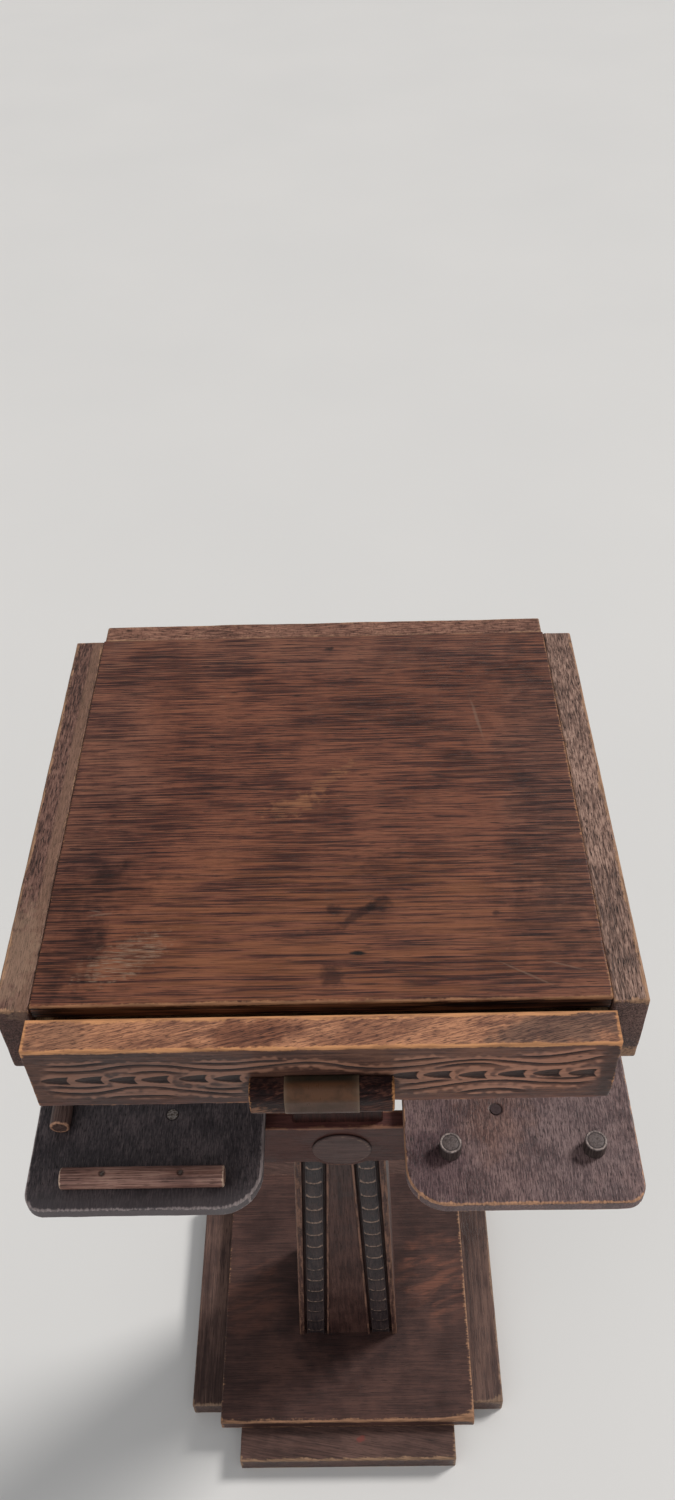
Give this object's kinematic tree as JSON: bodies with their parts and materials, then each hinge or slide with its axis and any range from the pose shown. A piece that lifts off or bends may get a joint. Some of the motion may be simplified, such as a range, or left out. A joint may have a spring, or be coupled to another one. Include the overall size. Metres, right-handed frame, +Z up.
{
  "type": "sewing table",
  "caption": "Small pedestal sewing table with a shallow carved-front drawer, a tapering carved column, side trays with pegs or rods, and a stepped cross-shaped base.",
  "frame": {"origin": "on the floor, under the middle of the base", "axes": "+Z up, +Y to the back, the drawer opens towards -Y, +X to the right of someone facing the drawer"},
  "size_m": [0.3816, 0.2998, 0.675],
  "materials": {
    "top_wood": "satin, stained",
    "case_wood": "worn satin, stained",
    "inner_wood": "bare, slightly dirty",
    "front_wood": "worn satin, stained",
    "pull_wood": "worn satin, stained",
    "column_wood": "satin, stained",
    "carving_wood": "dark satin, stained",
    "tray_wood": "dull satin, stained",
    "dowel_wood": "worn satin, stained",
    "base_wood": "satin, stained",
    "brass_sheet": "dull, patinated",
    "steel": "dull, slightly rusty"
  },
  "bodies": {
    "stand": {"top_panel": "top_wood", "side_board_left": "case_wood", "side_board_right": "case_wood", "back_board": "case_wood", "case_floor": "inner_wood", "column_front": "column_wood", "column_back": "column_wood", "column_cheek_left": "column_wood", "column_cheek_right": "column_wood", "ladder_strip_left": "carving_wood", "ladder_strip_right": "carving_wood", "beam_front": "column_wood", "beam_back": "column_wood", "beam_boss": "column_wood", "shelf_left": "tray_wood", "shelf_right": "tray_wood", "spool_pin_1": "dowel_wood", "spool_pin_2": "dowel_wood", "spool_pin_3": "dowel_wood", "spool_pin_4": "dowel_wood", "shelf_rod_front": "dowel_wood", "shelf_rod_back": "dowel_wood", "shelf_rod_side": "dowel_wood", "rod_nails": "steel", "shelf_screws": "steel", "base_board": "base_wood", "base_step_front": "base_wood", "base_step_back": "base_wood", "base_plate": "base_wood"},
    "drawer": {"drawer_front": "front_wood", "drawer_side_left": "inner_wood", "drawer_side_right": "inner_wood", "drawer_back": "inner_wood", "drawer_bottom": "inner_wood", "pull_block": "pull_wood", "pull_band": "brass_sheet"}
  },
  "joints": [
    {"name": "drawer_slide", "type": "slide", "parent": "stand", "child": "drawer", "axis": [0, -1, 0], "range_m": [-0.0042, 0.17]}
  ]
}
